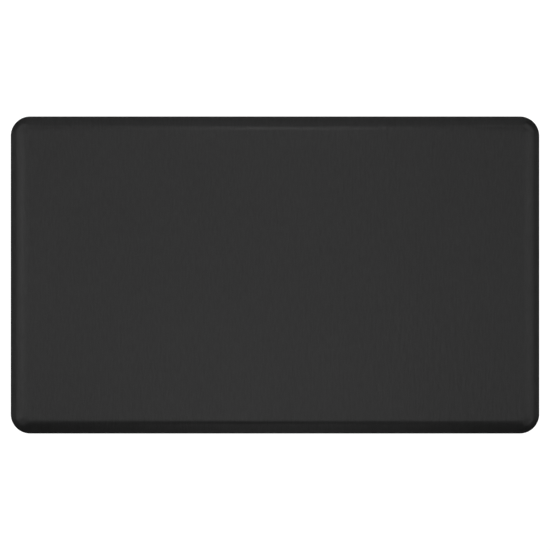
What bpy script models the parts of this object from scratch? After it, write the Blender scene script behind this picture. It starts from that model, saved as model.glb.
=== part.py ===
"""Anti-fatigue floor mat: a moulded polyurethane cover over a foam core, closed by a non-slip base.

Run with: blender --background --python part.py
Units are metres, +Z is up, +X runs along the length. The origin is the centre of the resting face.
"""

import math

import bmesh
import bpy
from mathutils import Matrix, Vector

# Overall size: 30 x 18 x 3/4 inch.
LENGTH = 0.762
WIDTH = 0.4572
THICKNESS = 0.01905
CORNER_RADIUS = 0.028  # in plan, at the outer edge

# Edge section, from the floor up: a low upright lip, a 45 degree bevel, a rounded crest, the flat top.
# The lip is tall enough for the rounding above it and the break below it, with an upright face between them.
BEVEL = 0.0155  # the bevel's width and its rise, before the crest is rounded
CREST_RADIUS = 0.010  # rounding between the bevel and the flat top
LIP_RADIUS = 0.0012  # rounding between the lip and the bevel
EDGE_BREAK = 0.0004  # small chamfer on the edges of the parting line and of the base

# Build-up of the layers.
GAP = 0.0003  # bond line left between neighbouring layers
SKIN = 0.0016  # thickness of the cover's skin over the foam
RIM = 0.006  # width of the cover's solid rim, which is bonded to the base
BASE_THICKNESS = 0.002

# Underside: a smooth border band, then a groove round the grip field.
BORDER_BAND = 0.016
GROOVE_WIDTH = 0.002
GROOVE_DEPTH = 0.0007

CORNER_SEGMENTS = 12
CREST_SEGMENTS = 6
LIP_SEGMENTS = 3
CUTTER_OVERRUN = 0.005  # how far a cutter runs past the face that it opens

PARTS_COLLECTION = "anti_fatigue_mat"
CUTTERS_COLLECTION = "cutters"

# A rounding of radius r takes r * tan(22.5 degrees) off each side of a 135 degree edge.
TANGENT_SHARE = math.tan(math.radians(22.5))


def clear_scene():
    for obj in list(bpy.data.objects):
        bpy.data.objects.remove(obj, do_unlink=True)


def new_collection(name):
    collection = bpy.data.collections.new(name)
    bpy.context.scene.collection.children.link(collection)
    return collection


def make_material(name, colour, roughness):
    material = bpy.data.materials.new(name)
    material.use_nodes = True
    shader = material.node_tree.nodes["Principled BSDF"]
    shader.inputs["Base Color"].default_value = (*colour, 1.0)
    shader.inputs["Roughness"].default_value = roughness
    shader.inputs["Metallic"].default_value = 0.0
    return material


def face_at(bm, height):
    """The flat face of bm that lies at this height."""
    flat = [f for f in bm.faces if abs(f.normal.z) > 0.99]
    return min(flat, key=lambda f: abs(f.calc_center_median().z - height))


def level_edges(bm, height):
    """The outline edges of bm that run round it at this height."""
    tolerance = 1e-6
    return [e for e in bm.edges if all(abs(v.co.z - height) < tolerance for v in e.verts)]


def round_edges(bm, edges, offset, segments):
    bmesh.ops.bevel(
        bm,
        geom=edges,
        offset=offset,
        offset_type="OFFSET",
        segments=segments,
        profile=0.5,
        affect="EDGES",
    )


def slab_mesh(name, inset, bottom, top, bevel=0.0, crest=0.0, lip=0.0, bottom_break=0.0, top_break=0.0):
    """A slab with the mat's outline moved in by inset. Its top edge takes a 45 degree bevel with a
    rounded crest above and a rounded lip below, or else a small break."""
    bm = bmesh.new()
    size = Vector((LENGTH - 2 * inset, WIDTH - 2 * inset, top - bottom))
    centre = Vector((0.0, 0.0, (top + bottom) / 2))
    bmesh.ops.create_cube(bm, size=1.0, matrix=Matrix.Translation(centre) @ Matrix.Diagonal((*size, 1.0)))

    upright = [e for e in bm.edges if abs(e.verts[0].co.z - e.verts[1].co.z) > size.z / 2]
    round_edges(bm, upright, CORNER_RADIUS - inset, CORNER_SEGMENTS)
    if bevel:
        round_edges(bm, list(face_at(bm, top).edges), bevel, 1)
        if crest:
            round_edges(bm, list(face_at(bm, top).edges), crest * TANGENT_SHARE, CREST_SEGMENTS)
        if lip:
            round_edges(bm, level_edges(bm, top - bevel), lip * TANGENT_SHARE, LIP_SEGMENTS)
    if top_break:
        round_edges(bm, list(face_at(bm, top).edges), top_break, 1)
    if bottom_break:
        round_edges(bm, list(face_at(bm, bottom).edges), bottom_break, 1)

    mesh = bpy.data.meshes.new(name)
    bm.to_mesh(mesh)
    bm.free()
    return mesh


def add_part(name, mesh, collection, material):
    mesh.materials.append(material)
    mesh.shade_smooth()
    mesh.set_sharp_from_angle(angle=math.radians(30))
    obj = bpy.data.objects.new(name, mesh)
    collection.objects.link(obj)
    return obj


def add_cutter(name, mesh, collection):
    obj = bpy.data.objects.new(name, mesh)
    obj.hide_render = True
    obj.display_type = "WIRE"
    collection.objects.link(obj)
    return obj


def subtract(obj, cutter):
    modifier = obj.modifiers.new("cut_" + cutter.name, "BOOLEAN")
    modifier.operation = "DIFFERENCE"
    modifier.object = cutter


def build_top_cover(parts, cutters, material):
    """The moulded skin: flat top, bevelled sides and solid rim in one piece, open below for the core."""
    parting_height = BASE_THICKNESS + GAP
    outer = slab_mesh(
        "top_cover",
        inset=0.0,
        bottom=parting_height,
        top=THICKNESS,
        bevel=BEVEL,
        crest=CREST_RADIUS,
        lip=LIP_RADIUS,
        bottom_break=EDGE_BREAK,
    )
    cover = add_part("top_cover", outer, parts, material)
    hollow = slab_mesh(
        "cover_hollow",
        inset=RIM,
        bottom=parting_height - CUTTER_OVERRUN,
        top=THICKNESS - SKIN,
        bevel=hollow_bevel(),
        crest=CREST_RADIUS - SKIN,
    )
    subtract(cover, add_cutter("cover_hollow", hollow, cutters))


def hollow_bevel():
    """Width of the bevel inside the cover, which leaves SKIN, square to the 45 degree slope."""
    slope_shift = SKIN * math.sqrt(2)
    height_over_rim = RIM - slope_shift  # how far the outer slope has risen above its foot there
    return BEVEL - SKIN - height_over_rim


def build_foam_core(parts, material):
    """The foam slab that fills the cover, smaller all round by the bond line."""
    mesh = slab_mesh(
        "foam_core",
        inset=RIM + GAP,
        bottom=BASE_THICKNESS + GAP,
        top=THICKNESS - SKIN - GAP,
        bevel=hollow_bevel() - GAP * (1 - TANGENT_SHARE),
        crest=CREST_RADIUS - SKIN - GAP,
    )
    add_part("foam_core", mesh, parts, material)


def build_base(parts, cutters, material):
    """The non-slip base sheet, with the groove between its border band and the grip field."""
    plate = slab_mesh(
        "non_slip_base",
        inset=0.0,
        bottom=0.0,
        top=BASE_THICKNESS,
        top_break=EDGE_BREAK,
        bottom_break=EDGE_BREAK,
    )
    base = add_part("non_slip_base", plate, parts, material)

    groove = slab_mesh("groove", inset=BORDER_BAND, bottom=-CUTTER_OVERRUN, top=GROOVE_DEPTH)
    field = slab_mesh(
        "grip_field",
        inset=BORDER_BAND + GROOVE_WIDTH,
        bottom=-2 * CUTTER_OVERRUN,
        top=BASE_THICKNESS,
    )
    groove_cutter = add_cutter("groove", groove, cutters)
    subtract(groove_cutter, add_cutter("grip_field", field, cutters))
    subtract(base, groove_cutter)


def main():
    clear_scene()
    parts = new_collection(PARTS_COLLECTION)
    cutters = new_collection(CUTTERS_COLLECTION)
    cover_black = make_material("cover_black", (0.024, 0.024, 0.024), 0.6)
    foam_charcoal = make_material("foam_charcoal", (0.055, 0.055, 0.057), 0.95)
    base_black = make_material("base_black", (0.020, 0.020, 0.020), 0.75)
    build_top_cover(parts, cutters, cover_black)
    build_foam_core(parts, foam_charcoal)
    build_base(parts, cutters, base_black)


main()
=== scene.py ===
"""Looks of a moulded anti-fatigue mat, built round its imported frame.

Units are metres. The mat lies on the floor with +X along its length and +Y across its width. Each piece is
a section, whose points have an inset from the outline and a height, swept round the mat's outline.
"""

import math

import bmesh
import bpy
import numpy as np
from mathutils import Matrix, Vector, noise


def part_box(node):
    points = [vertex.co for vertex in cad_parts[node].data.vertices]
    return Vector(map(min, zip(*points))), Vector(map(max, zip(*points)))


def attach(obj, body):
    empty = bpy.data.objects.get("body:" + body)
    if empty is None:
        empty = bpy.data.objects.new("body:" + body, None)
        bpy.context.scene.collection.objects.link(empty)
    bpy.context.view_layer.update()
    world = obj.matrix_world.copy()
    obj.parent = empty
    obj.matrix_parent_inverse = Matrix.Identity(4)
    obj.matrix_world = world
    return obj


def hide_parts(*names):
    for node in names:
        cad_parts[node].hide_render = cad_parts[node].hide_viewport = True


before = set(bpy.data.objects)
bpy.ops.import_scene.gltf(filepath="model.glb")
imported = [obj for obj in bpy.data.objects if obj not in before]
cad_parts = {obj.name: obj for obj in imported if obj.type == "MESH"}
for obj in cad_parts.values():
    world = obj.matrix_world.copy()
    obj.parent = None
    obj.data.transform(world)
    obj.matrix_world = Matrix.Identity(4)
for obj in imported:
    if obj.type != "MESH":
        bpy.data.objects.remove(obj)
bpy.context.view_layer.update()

MM = 0.001

# Sizes that the frame gives.
COVER_LOW, COVER_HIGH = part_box("top_cover")
CORE_LOW, CORE_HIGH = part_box("foam_core")
BASE_LOW, BASE_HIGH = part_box("non_slip_base")
LENGTH = COVER_HIGH.x - COVER_LOW.x
WIDTH = COVER_HIGH.y - COVER_LOW.y
TOP = COVER_HIGH.z
PARTING = COVER_LOW.z  # where the cover's lip ends above the base
GAP = COVER_LOW.z - BASE_HIGH.z  # bond line between the layers

# Outline and edge section of the cover.
CORNER_RADIUS = 28 * MM
LIP_FOOT = 3.1 * MM  # height at which the slope would meet the upright lip
LIP_RADIUS = 1 * MM
EDGE_BREAK = 0.3 * MM
SKIN = 1.6 * MM
RIM = 6 * MM
# An edge's section, from the lip up, is a straight slope, a crest arc that turns it down to the shoulder's
# tilt, and a wide shoulder arc that ends level. The long edges have a crisp bevel, the short ones roll over
# more softly, and the corners swell out like a pillow's. Every section has to end within the corner radius:
# (slope in degrees, crest radius, shoulder's tilt in degrees, shoulder radius).
LONG_EDGE = (44, 11 * MM, 8, 25 * MM)
SHORT_EDGE = (48, 20 * MM, 11, 42 * MM)
CORNER_EDGE = (54, 18 * MM, 13, 43 * MM)
# Round a corner the outward normal turns between Y and X. The short edges' section has replaced the long
# edges' once the normal's part along X reaches SHORT_BLEND, and the corners' section comes in as its parts
# along X and Y rise to CORNER_BLEND.
SHORT_BLEND = 0.6
CORNER_BLEND = (0.9, 0.5)

# How finely each piece is divided. The cover's ribs run along Y, so X needs the finer steps.
COLUMN_STEP = 1.4 * MM
ROW_STEP = 5.2 * MM
CORE_STEP = 6 * MM
BASE_STEP = 30 * MM
ARC_SEGMENTS = 18  # round each corner
# Points along each part of a section.
BREAK_POINTS = 4
LIP_POINTS = 6
SLOPE_POINTS = 7
CREST_POINTS = 10
SHOULDER_POINTS = 6
INNER_CREST_POINTS = 6
INNER_SHOULDER_POINTS = 4

# Relief of the cover's surface.
RIB_WIDTH = 3.5 * MM
RIB_RUN = 18 * MM  # how far a rib keeps its shape along Y
RIB_HEIGHT = 0.24 * MM
FINE_RIB = 0.6  # size of a second, finer set of ribs in each direction, and its share of the height
RIB_START, RIB_FULL = 3 * MM, 14 * MM  # insets between which the ribs rise
SWELL = 0.12 * MM  # slow unevenness of moulded foam
SWELL_SPAN = 110 * MM
SWELL_FULL = 40 * MM  # inset at which the swells reach their height
CREST_INSET = 15.5 * MM  # where shoes and folding rub the bevel's crest
CREST_SPREAD = 4.5 * MM

# Pits in the core's top, where the foam's cells are cut open.
PIT_DEPTH = 0.15 * MM
PIT_SPAN = 9 * MM
PITTED_LAYER = 1 * MM  # how far down from the core's flat top they go on

# Places in the noise's space, far enough apart to be unlike each other.
RIB_SEED, FINE_RIB_SEED, SWELL_SEED, PIT_SEED = 3.7, 11.2, 5.1, 2.3

# Underside.
BASE_BREAK = 0.3 * MM
BORDER_BAND = 16 * MM
RECESS = 0.7 * MM
GROOVE = 4 * MM  # least width of the recess round the studs
STUD_PITCH = 14 * MM
STUD_SIDES = 12
# Each stud as (share of the pitch taken by its radius, share of the recess that it has come down).
STUD_RINGS = ((0.335, 0.0), (0.30, 0.25), (0.275, 0.85), (0.25, 1.0))
WELD_DISTANCE = 0.01 * MM  # joins the neighbouring studs' squares into one sheet

# Staging.
LENS = 200  # millimetres on a 36 mm sensor
FILLED_WIDTH = 0.961  # share of the picture's width that the mat fills
FLOOR_HALF_SIZE = 15  # metres
FLOOR_DROP = 0.1 * MM
WHITE = (1.0, 1.0, 1.0, 1.0)
FILL_STRENGTH = 0.01  # light from all round, next to none
FLOOR_GLOW = 1.1  # just above white, so the background is even

# Noise textures seldom leave this range.
NOISE_RANGE = (0.3, 0.7)


# ---------------------------------------------------------------- outline and sections


def mixed(first, second, share):
    return first + (second - first) * share


def smoothstep(low, high, values):
    t = np.clip((values - low) / (high - low), 0, 1)
    return t * t * (3 - 2 * t)


class Outline:
    """The mat's outline as anchors and outward normals, counter-clockwise from the front left.

    The point at inset d is anchor + (corner radius - d) * normal. The anchors lie on a rectangle whose
    inside can be filled by a grid, and the corner's arc shares one anchor at the rectangle's corner.
    """

    def __init__(self, column_step, row_step, arc_segments):
        reach_x = LENGTH / 2 - CORNER_RADIUS
        reach_y = WIDTH / 2 - CORNER_RADIUS
        self.xs = np.linspace(-reach_x, reach_x, round(2 * reach_x / column_step) + 1)
        self.ys = np.linspace(-reach_y, reach_y, round(2 * reach_y / row_step) + 1)
        columns, rows = len(self.xs), len(self.ys)
        sides = (
            [(i, 0) for i in range(columns)],
            [(columns - 1, j) for j in range(rows)],
            [(i, rows - 1) for i in reversed(range(columns))],
            [(0, j) for j in reversed(range(rows))],
        )
        self.cells = []  # grid place of each anchor
        angles = []
        for quarter, side in enumerate(sides):
            facing = math.pi / 2 * (quarter - 1)
            self.cells += side
            angles += [facing] * len(side)
            self.cells += [side[-1]] * (arc_segments - 1)
            angles += [facing + math.pi / 2 * k / arc_segments for k in range(1, arc_segments)]
        self.anchors = np.array([(self.xs[i], self.ys[j]) for i, j in self.cells])
        self.normals = np.column_stack([np.cos(angles), np.sin(angles)])
        along_x, along_y = np.abs(self.normals).T[..., None]
        edges = mixed(np.array(LONG_EDGE), np.array(SHORT_EDGE), smoothstep(0, SHORT_BLEND, along_x))
        share = smoothstep(0, CORNER_BLEND[0], along_x) * smoothstep(0, CORNER_BLEND[1], along_y)
        edges = mixed(edges, np.array(CORNER_EDGE), share)
        self.edges = [tuple(edge) for edge in edges]

    def ring(self, insets, heights):
        """One loop of points, each at its own inset and height."""
        flat = self.anchors + (CORNER_RADIUS - insets)[:, None] * self.normals
        return np.column_stack([flat, heights])


def arc(centre, radius, start, end, count):
    """Points of a section's arc. An angle is the tilt of the surface's normal away from straight up."""
    tilts = np.linspace(start, end, count)
    return [(centre[0] - radius * math.sin(t), centre[1] + radius * math.cos(t)) for t in tilts]


class Edge:
    """Where the slope, crest and shoulder of one section lie."""

    def __init__(self, slope, crest_radius, tilt, shoulder_radius):
        self.slope, self.tilt = math.radians(slope), math.radians(tilt)
        self.crest_radius, self.shoulder_radius = crest_radius, shoulder_radius
        lead = self.shoulder_radius - self.crest_radius
        # The crest's centre hangs from the shoulder's, and a straight slope fills the height that is left.
        crest_height = TOP - self.shoulder_radius + lead * math.cos(self.tilt)
        slope_top = crest_height + self.crest_radius * math.cos(self.slope)
        run = (slope_top - LIP_FOOT) / math.tan(self.slope)
        self.crest = (run + self.crest_radius * math.sin(self.slope), crest_height)
        self.shoulder = (self.crest[0] + lead * math.sin(self.tilt), TOP - self.shoulder_radius)

    def rounding(self, depth, crest_points, shoulder_points):
        """The crest and the shoulder, this deep under the outside, from the slope to level."""
        crest = arc(self.crest, self.crest_radius - depth, self.slope, self.tilt, crest_points)
        shoulder = arc(self.shoulder, self.shoulder_radius - depth, self.tilt, 0, shoulder_points)
        return crest + shoulder[1:]


def outer_section(edge):
    """The cover's outside, from the bottom of its lip to the flat top, as (inset, height) points."""
    upright = math.pi / 2
    lip_setback = LIP_RADIUS * math.tan((upright - edge.slope) / 2)
    points = arc((EDGE_BREAK, PARTING + EDGE_BREAK), EDGE_BREAK, math.pi, upright, BREAK_POINTS)
    points += arc((LIP_RADIUS, LIP_FOOT - lip_setback), LIP_RADIUS, upright, edge.slope, LIP_POINTS)
    rounding = edge.rounding(0, CREST_POINTS, SHOULDER_POINTS)
    slope_start = points[-1]
    for step in np.linspace(0, 1, SLOPE_POINTS)[1:-1]:
        points.append(tuple(mixed(a, b, step) for a, b in zip(slope_start, rounding[0])))
    return points + rounding


def inner_section(edge, depth, foot, bottom):
    """A surface this deep under the cover's outside: an upright wall, the slope and the flat it ends in.

    The foot of the wall has to lie under the slope, not under the crest.
    """
    wall_top = LIP_FOOT + foot * math.tan(edge.slope) - depth / math.cos(edge.slope)
    rounding = edge.rounding(depth, INNER_CREST_POINTS, INNER_SHOULDER_POINTS)
    return [(foot, bottom), (foot, wall_top), *rounding]


def rings_of(outline, section):
    """The section swept round the outline, as a list of loops."""
    paths = {edge: section(Edge(*edge)) for edge in set(outline.edges)}
    points = np.array([paths[edge] for edge in outline.edges])
    return [outline.ring(points[:, k, 0], points[:, k, 1]) for k in range(points.shape[1])]


# ---------------------------------------------------------------- meshes


def ring_faces(first, second, count):
    """Quads between two loops of count points, given the index of each loop's first point."""
    after = [(i + 1) % count for i in range(count)]
    return [(first + i, first + after[i], second + after[i], second + i) for i in range(count)]


def grid_faces(outline, last_ring, first_cell):
    """Faces that fill the outline's inner rectangle and join it to the last loop round it."""
    columns, rows = len(outline.xs), len(outline.ys)

    def cell(i, j):
        return first_cell + i * rows + j

    faces = [
        (cell(i, j), cell(i + 1, j), cell(i + 1, j + 1), cell(i, j + 1))
        for i in range(columns - 1)
        for j in range(rows - 1)
    ]
    count = len(outline.cells)
    for k in range(count):
        here, there = cell(*outline.cells[k]), cell(*outline.cells[(k + 1) % count])
        outer = (last_ring + k, last_ring + (k + 1) % count)
        faces.append((*outer, here) if here == there else (*outer, there, here))
    return faces


def swept_mesh(name, outline, rings, flat_height):
    """A closed mesh: a cap across the first loop, the loops, and a level grid inside the last one."""
    count = len(outline.cells)
    inside = np.array([(x, y, flat_height) for x in outline.xs for y in outline.ys])
    points = np.vstack([*rings, inside])
    faces = [tuple(reversed(range(count)))]
    for k in range(len(rings) - 1):
        faces += ring_faces(k * count, (k + 1) * count, count)
    faces += grid_faces(outline, (len(rings) - 1) * count, len(rings) * count)
    mesh = bpy.data.meshes.new(name)
    mesh.from_pydata(points.tolist(), [], faces)
    mesh.validate()
    return mesh


def coordinates(mesh):
    values = np.empty(len(mesh.vertices) * 3)
    mesh.vertices.foreach_get("co", values)
    return values.reshape(-1, 3)


def store(mesh, points):
    mesh.vertices.foreach_set("co", points.ravel())
    mesh.update()


def noise_at(points, span, seed):
    """Smooth noise from about -1 to 1 at each point. span is the size of its features along X, Y and Z."""
    scaled = points / np.array(span)
    return np.array([noise.noise(Vector((x, y, z + seed))) for x, y, z in scaled])


def add_object(name, mesh, material, sharp_angle=40):
    mesh.materials.append(material)
    mesh.shade_smooth()
    mesh.set_sharp_from_angle(angle=math.radians(sharp_angle))
    obj = bpy.data.objects.new(name, mesh)
    bpy.context.scene.collection.objects.link(obj)
    return obj


def inset_of(points):
    """How far inside the outline each point lies, seen from above."""
    over = np.abs(points[:, :2]) - (np.array([LENGTH, WIDTH]) / 2 - CORNER_RADIUS)
    outside = np.linalg.norm(np.maximum(over, 0), axis=1)
    return CORNER_RADIUS - outside - np.minimum(over.max(axis=1), 0)


def add_float_attribute(mesh, name, values):
    attribute = mesh.attributes.new(name, "FLOAT", "POINT")
    attribute.data.foreach_set("value", values.astype(np.float32))


def build_cover(material):
    """The moulded skin, with its relief in the mesh: slow swells and fine ribs that run across the mat."""
    outline = Outline(COLUMN_STEP, ROW_STEP, ARC_SEGMENTS)
    cavity = rings_of(outline, lambda edge: inner_section(edge, SKIN, RIM, PARTING)[::-1])
    outside = rings_of(outline, outer_section)
    mesh = swept_mesh("mat_cover", outline, cavity + outside, TOP)

    # The relief only ever lowers the skin, so the mat keeps to its height.
    points = coordinates(mesh)
    skin = np.arange(len(points)) >= len(cavity) * len(outline.cells)
    inset = inset_of(points)
    ribs = noise_at(points, (RIB_WIDTH, RIB_RUN, 1), RIB_SEED) - 1
    fine = noise_at(points, (FINE_RIB * RIB_WIDTH, FINE_RIB * RIB_RUN, 1), FINE_RIB_SEED) - 1
    swells = noise_at(points, (SWELL_SPAN, SWELL_SPAN, 1), SWELL_SEED) - 1
    relief = RIB_HEIGHT * (ribs + FINE_RIB * fine) * smoothstep(RIB_START, RIB_FULL, inset)
    relief += SWELL * swells * smoothstep(0, SWELL_FULL, inset)
    points[skin, 2] += relief[skin]
    store(mesh, points)

    wear = np.exp(-(((inset - CREST_INSET) / CREST_SPREAD) ** 2))
    add_float_attribute(mesh, "wear", np.where(skin, wear, 0))
    return add_object("mat_cover", mesh, material)


def build_core(material):
    """The foam slab: its cut cells are in the material, and its skin follows the cavity that it fills."""
    outline = Outline(CORE_STEP, CORE_STEP, ARC_SEGMENTS)
    foot = CORE_LOW.x - COVER_LOW.x

    def section(edge):
        return inner_section(edge, SKIN + GAP, foot, CORE_LOW.z)

    mesh = swept_mesh("mat_foam_core", outline, rings_of(outline, section), CORE_HIGH.z)
    points = coordinates(mesh)
    pits = PIT_DEPTH * (noise_at(points, (PIT_SPAN, PIT_SPAN, 1), PIT_SEED) + 1)
    top = points[:, 2] > CORE_HIGH.z - PITTED_LAYER
    points[top, 2] -= pits[top]
    store(mesh, points)
    return add_object("mat_foam_core", mesh, material)


def stud_field(bm, half_x, half_y, ceiling):
    """A grid of studs that hang from the recess down to the floor. Returns the vertices made."""
    columns, rows = round(2 * half_x / STUD_PITCH), round(2 * half_y / STUD_PITCH)
    pitch = Vector((2 * half_x / columns, 2 * half_y / rows))
    turns = [math.tau * (k + 0.5) / STUD_SIDES for k in range(STUD_SIDES)]
    on_square = [Vector((math.cos(t), math.sin(t))) for t in turns]
    on_square = [d / max(abs(d.x), abs(d.y)) / 2 for d in on_square]
    made = []
    for i in range(columns):
        for j in range(rows):
            centre = Vector((-half_x + (i + 0.5) * pitch.x, -half_y + (j + 0.5) * pitch.y))
            loops = [[(centre.x + d.x * pitch.x, centre.y + d.y * pitch.y, ceiling) for d in on_square]]
            for share, drop in STUD_RINGS:
                radius = share * STUD_PITCH
                height = ceiling * (1 - drop)
                spokes = [centre + radius * Vector((math.cos(t), math.sin(t))) for t in turns]
                loops.append([(spoke.x, spoke.y, height) for spoke in spokes])
            rings = [[bm.verts.new(p) for p in loop] for loop in loops]
            for outer, inner in zip(rings, rings[1:]):
                for k in range(STUD_SIDES):
                    after = (k + 1) % STUD_SIDES
                    bm.faces.new((outer[k], inner[k], inner[after], outer[after]))
            bm.faces.new(list(reversed(rings[-1])))
            made += [v for ring in rings for v in ring]
    return made


def build_base(material):
    """The non-slip sheet: a smooth border band round a recess that is filled with round grip studs."""
    outline = Outline(BASE_STEP, BASE_STEP, ARC_SEGMENTS)
    bottom, top, soft = BASE_LOW.z, BASE_HIGH.z, BASE_BREAK
    section = [(3 * soft, top)]  # keeps the shading of the break off the flat top
    section += arc((soft, top - soft), soft, 0, math.pi / 2, BREAK_POINTS)
    section += arc((soft, bottom + soft), soft, math.pi / 2, math.pi, BREAK_POINTS)
    section += [(BORDER_BAND - soft, bottom), (BORDER_BAND, bottom + soft), (BORDER_BAND, bottom + RECESS)]
    count = len(outline.cells)
    loops = [outline.ring(np.full(count, inset), np.full(count, height)) for inset, height in section]

    bm = bmesh.new()
    rings = [[bm.verts.new(p) for p in loop] for loop in loops]
    for upper, lower in zip(rings, rings[1:]):
        for k in range(count):
            after = (k + 1) % count
            bm.faces.new((upper[k], lower[k], lower[after], upper[after]))
    bm.faces.new(rings[0])
    field = stud_field(
        bm,
        LENGTH / 2 - BORDER_BAND - GROOVE,
        WIDTH / 2 - BORDER_BAND - GROOVE,
        bottom + RECESS,
    )
    bmesh.ops.remove_doubles(bm, verts=field, dist=WELD_DISTANCE)
    # The recess between the border band and the field of studs is filled in.
    open_edges = [e for e in bm.edges if e.is_boundary]
    bmesh.ops.triangle_fill(bm, use_beauty=True, edges=open_edges, normal=(0, 0, -1))
    bmesh.ops.recalc_face_normals(bm, faces=bm.faces)
    mesh = bpy.data.meshes.new("mat_grip_base")
    bm.to_mesh(mesh)
    bm.free()
    return add_object("mat_grip_base", mesh, material, sharp_angle=35)


# ---------------------------------------------------------------- materials


class Graph:
    """A short way to write a material's nodes."""

    def __init__(self, name):
        self.material = bpy.data.materials.new(name)
        self.material.use_nodes = True
        self.nodes = self.material.node_tree.nodes
        self.links = self.material.node_tree.links
        self.shader = self.nodes["Principled BSDF"]
        self.place = self.nodes.new("ShaderNodeTexCoord").outputs["Object"]

    def node(self, kind, **inputs):
        """A new node with these inputs, whose names are written in lower case here."""
        made = self.nodes.new(kind)
        for name, value in inputs.items():
            self.feed(made.inputs[name.title()], value)
        return made

    def feed(self, socket, value):
        if isinstance(value, bpy.types.NodeSocket):
            self.links.new(value, socket)
        else:
            socket.default_value = value

    def math(self, operation, *values):
        made = self.nodes.new("ShaderNodeMath")
        made.operation = operation
        for socket, value in zip(made.inputs, values):
            self.feed(socket, value)
        return made.outputs["Value"]

    def stretched(self, span):
        """Object coordinates divided by a feature size, or by one each along X, Y and Z."""
        scale = (1 / np.broadcast_to(span, 3)).tolist()
        return self.node("ShaderNodeMapping", vector=self.place, scale=scale).outputs["Vector"]

    def noise(self, span, detail=2.0, roughness=0.5):
        """Noise of about 0 to 1, centred on 0.5, with features of this size."""
        settings = {"scale": 1.0, "detail": detail, "roughness": roughness}
        return self.node("ShaderNodeTexNoise", vector=self.stretched(span), **settings).outputs["Fac"]

    def cells(self, span, feature="F1"):
        """Distance from the nearest cell's point, or to its edge, in cells of this size."""
        made = self.node("ShaderNodeTexVoronoi", vector=self.stretched(span), scale=1.0)
        made.feature = feature
        return made.outputs["Distance"]

    def height(self):
        return self.node("ShaderNodeSeparateXYZ", vector=self.place).outputs["Z"]

    def attribute(self, name):
        made = self.nodes.new("ShaderNodeAttribute")
        made.attribute_name = name
        return made.outputs["Fac"]

    def spread(self, value, low, high, out_low, out_high):
        """value mapped from low..high onto out_low..out_high, clamped."""
        made = self.nodes.new("ShaderNodeMapRange")
        for socket, number in zip(made.inputs, (value, low, high, out_low, out_high)):
            self.feed(socket, number)
        return made.outputs["Result"]

    def varied(self, noise_value, out_low, out_high):
        """Noise mapped onto out_low..out_high, clamped."""
        return self.spread(noise_value, *NOISE_RANGE, out_low, out_high)

    def total(self, *values):
        result = values[0]
        for value in values[1:]:
            result = self.math("ADD", result, value)
        return result

    def grey(self, level, tint=(1.0, 1.0, 1.0)):
        """A colour from a brightness and a tint."""
        made = self.nodes.new("ShaderNodeCombineColor")
        for socket, share in zip(made.inputs, tint):
            self.feed(socket, self.math("MULTIPLY", level, share))
        return made.outputs["Color"]

    def bump(self, height, distance, normal=None):
        """Relief from a height of about 0 to 1, distance tall."""
        made = self.node("ShaderNodeBump", strength=1.0, distance=distance, height=height)
        if normal is not None:
            self.feed(made.inputs["Normal"], normal)
        return made.outputs["Normal"]

    def finish(self, settings):
        """The material, once these inputs of its shader are set."""
        for name, value in settings.items():
            self.feed(self.shader.inputs[name], value)
        return self.material

    def surface(self, colour, roughness, normal, specular=0.5):
        return self.finish(
            {
                "Base Color": colour,
                "Roughness": roughness,
                "Specular IOR Level": specular,
                "Normal": normal,
            }
        )


def cover_material():
    """Matt black moulded polyurethane: leather-like grain, fine streaks and a rub along the crest. Painted
    shade darkens the grain's creases and the streaks' grooves; the grooves also hold a little dust.
    """
    g = Graph("cover_skin")
    patches = g.noise(90 * MM, detail=3)
    streaks = g.noise((2.4 * MM, 14 * MM, 20 * MM), detail=1)
    creases = g.cells((1.7 * MM, 3.2 * MM, 1.7 * MM), feature="DISTANCE_TO_EDGE")
    pebbles = g.spread(creases, 0.0, 0.2, 0.0, 1.0)
    pores = g.noise(0.45 * MM, detail=2, roughness=0.6)
    uneven = g.spread(g.noise((14 * MM, 14 * MM, 6 * MM)), 0.35, 0.7, 0.2, 1.0)
    rubbed = g.math("MULTIPLY", g.attribute("wear"), uneven)

    level = g.total(
        0.020,
        g.varied(patches, -0.0012, 0.0012),
        # Painted shade and light: darker in the streaks' grooves and lighter on their ridges, with some
        # dust in the grooves.
        g.varied(streaks, -0.0028, 0.0028),
        # Painted shade: darker in the grain's creases, a little lighter on its tops.
        g.spread(pebbles, 0.0, 1.0, -0.0030, 0.0008),
        g.math("MULTIPLY", rubbed, 0.003),
    )
    roughness = g.total(
        g.varied(patches, 0.42, 0.47),
        g.varied(pores, -0.04, 0.04),
        g.math("MULTIPLY", rubbed, -0.06),
    )
    relief = g.bump(streaks, 0.18 * MM)
    relief = g.bump(pebbles, 0.07 * MM, relief)
    relief = g.bump(pores, 0.02 * MM, relief)
    return g.surface(g.grey(level), roughness, relief, specular=0.4)


def core_material():
    """Dark cut foam with small open cells, with painted shade where their relief lies deepest."""
    g = Graph("core_foam")
    cells = g.cells(1.4 * MM)
    fine = g.cells(0.6 * MM)
    patches = g.noise(60 * MM)
    level = g.total(
        # Painted shade: the colour darkens where the cells' relief lies deepest.
        g.spread(cells, 0.1, 0.8, 0.075, 0.030),
        g.spread(fine, 0.1, 0.8, 0.01, -0.01),
        g.varied(patches, -0.006, 0.006),
    )
    relief = g.bump(g.math("ADD", cells, g.math("MULTIPLY", fine, 0.4)), -0.5 * MM)
    return g.surface(g.grey(level, (1.0, 1.0, 1.03)), 0.95, relief, specular=0.2)


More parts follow.
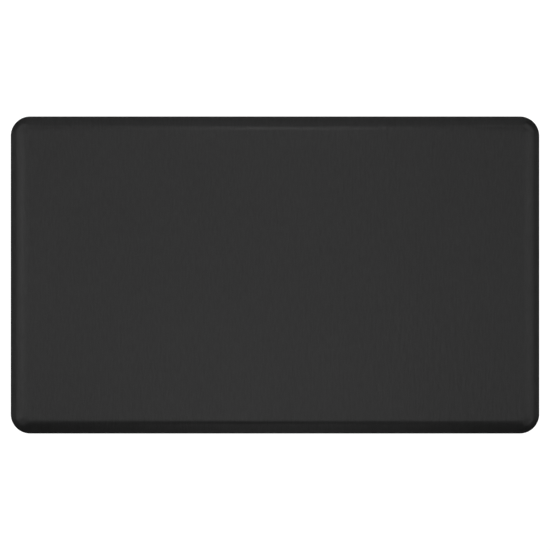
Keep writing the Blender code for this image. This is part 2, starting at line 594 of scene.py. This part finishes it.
def base_material():
    """Black grip rubber: dust has settled in the recess, and the studs' tips are rubbed smoother."""
    g = Graph("base_skin")
    patches = g.noise(45 * MM, detail=3)
    grain = g.noise(0.7 * MM, detail=3)
    scuffs = g.noise((3 * MM, 22 * MM, 10 * MM), detail=2)
    recessed = g.spread(g.height(), BASE_LOW.z + RECESS / 5, BASE_LOW.z + RECESS, 0.0, 1.0)
    level = g.total(
        0.021,
        g.varied(patches, -0.002, 0.004),
        g.varied(grain, -0.002, 0.002),
        g.spread(scuffs, 0.55, 0.75, 0.0, 0.003),
        g.math("MULTIPLY", recessed, g.spread(patches, 0.35, 0.65, 0.006, 0.016)),
    )
    roughness = g.total(
        g.varied(patches, 0.48, 0.58),
        g.spread(scuffs, 0.5, 0.75, 0.0, -0.08),
        g.math("MULTIPLY", recessed, 0.25),
    )
    relief = g.bump(grain, 0.06 * MM)
    return g.surface(g.grey(level, (1.0, 0.985, 0.96)), roughness, relief, specular=0.5)


def floor_material():
    """White light table. It glows evenly and reflects little, so no shadow and no hot spot show on it."""
    return Graph("floor_white").finish(
        {
            "Base Color": (0.05, 0.05, 0.05, 1.0),
            "Roughness": 0.9,
            "Specular IOR Level": 0.1,
            "Emission Color": WHITE,
            "Emission Strength": FLOOR_GLOW,
        }
    )


# ---------------------------------------------------------------- staging


def add_softbox(name, place, size, power):
    """A soft light that faces the mat's centre."""
    light = bpy.data.lights.new(name, "AREA")
    light.shape = "RECTANGLE"
    light.size, light.size_y = size
    light.energy = power
    obj = bpy.data.objects.new(name, light)
    obj.location = place
    obj.rotation_euler = (-obj.location).to_track_quat("-Z", "Y").to_euler()
    obj.visible_camera = False
    bpy.context.scene.collection.objects.link(obj)


def add_lights():
    """Broad soft boxes above and beside the mat, and small near ones that pick out its long edges."""
    add_softbox("over_front", place=(0, -0.35, 1.3), size=(0.5, 0.5), power=2.45)
    add_softbox("over_back", place=(0, 0.35, 1.3), size=(0.5, 0.5), power=1.05)
    add_softbox("left_high", place=(-0.95, 0, 1.1), size=(0.8, 0.5), power=2.95)
    add_softbox("left_low", place=(-1.25, 0, 0.3), size=(1.2, 0.5), power=1.9)
    add_softbox("right_high", place=(0.95, 0, 1.1), size=(0.8, 0.5), power=2.3)
    add_softbox("right_low", place=(1.25, 0, 0.3), size=(1.2, 0.5), power=1.7)
    add_softbox("back_wide", place=(0, 1.2, 0.3), size=(1.8, 0.45), power=2.05)
    add_softbox("back_near", place=(0, 0.58, 0.58), size=(0.3, 0.2), power=0.77)
    add_softbox("back_left", place=(-1.0, 0.8, 0.45), size=(0.8, 0.6), power=1.6)
    add_softbox("back_right", place=(1.0, 0.8, 0.45), size=(0.8, 0.6), power=1.35)
    add_softbox("front_near", place=(0, -0.85, 0.08), size=(0.4, 0.15), power=0.24)
    add_softbox("front_left", place=(-1.0, -0.8, 0.45), size=(0.8, 0.6), power=0.8)
    add_softbox("front_right", place=(1.0, -0.8, 0.45), size=(0.8, 0.6), power=1.05)


def add_world():
    """White to the camera, and almost dark to everything else."""
    world = bpy.data.worlds.new("studio")
    world.use_nodes = True
    nodes, links = world.node_tree.nodes, world.node_tree.links
    backdrop = nodes["Background"]
    backdrop.inputs["Color"].default_value = WHITE
    fill = nodes.new("ShaderNodeBackground")
    fill.inputs["Color"].default_value = WHITE
    fill.inputs["Strength"].default_value = FILL_STRENGTH
    mix = nodes.new("ShaderNodeMixShader")
    links.new(nodes.new("ShaderNodeLightPath").outputs["Is Camera Ray"], mix.inputs["Fac"])
    links.new(fill.outputs["Background"], mix.inputs[1])
    links.new(backdrop.outputs["Background"], mix.inputs[2])
    links.new(mix.outputs["Shader"], nodes["World Output"].inputs["Surface"])
    bpy.context.scene.world = world


def add_floor():
    """A broad white sheet under the mat."""
    mesh = bpy.data.meshes.new("floor")
    bm = bmesh.new()
    bmesh.ops.create_grid(bm, x_segments=1, y_segments=1, size=FLOOR_HALF_SIZE)
    bm.to_mesh(mesh)
    bm.free()
    mesh.materials.append(floor_material())
    floor = bpy.data.objects.new("floor", mesh)
    floor.location.z = BASE_LOW.z - FLOOR_DROP
    # The glow isn't thrown back at the mat's dark edges.
    floor.visible_diffuse = False
    floor.visible_glossy = False
    bpy.context.scene.collection.objects.link(floor)


def add_camera():
    """Straight above the mat, with its length across the picture."""
    camera = bpy.data.cameras.new("camera")
    camera.lens = LENS
    obj = bpy.data.objects.new("camera", camera)
    seen_width = LENGTH / FILLED_WIDTH
    obj.location = (0, 0, seen_width * LENS / camera.sensor_width + LIP_FOOT)
    bpy.context.scene.collection.objects.link(obj)
    bpy.context.scene.camera = obj


def main():
    scene = bpy.context.scene
    scene.view_settings.view_transform = "Standard"
    add_camera()

    cover = build_cover(cover_material())
    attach(cover, "root")
    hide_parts("top_cover")

    core = build_core(core_material())
    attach(core, "root")
    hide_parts("foam_core")

    base = build_base(base_material())
    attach(base, "root")
    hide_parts("non_slip_base")

    add_floor()
    add_world()
    add_lights()


main()
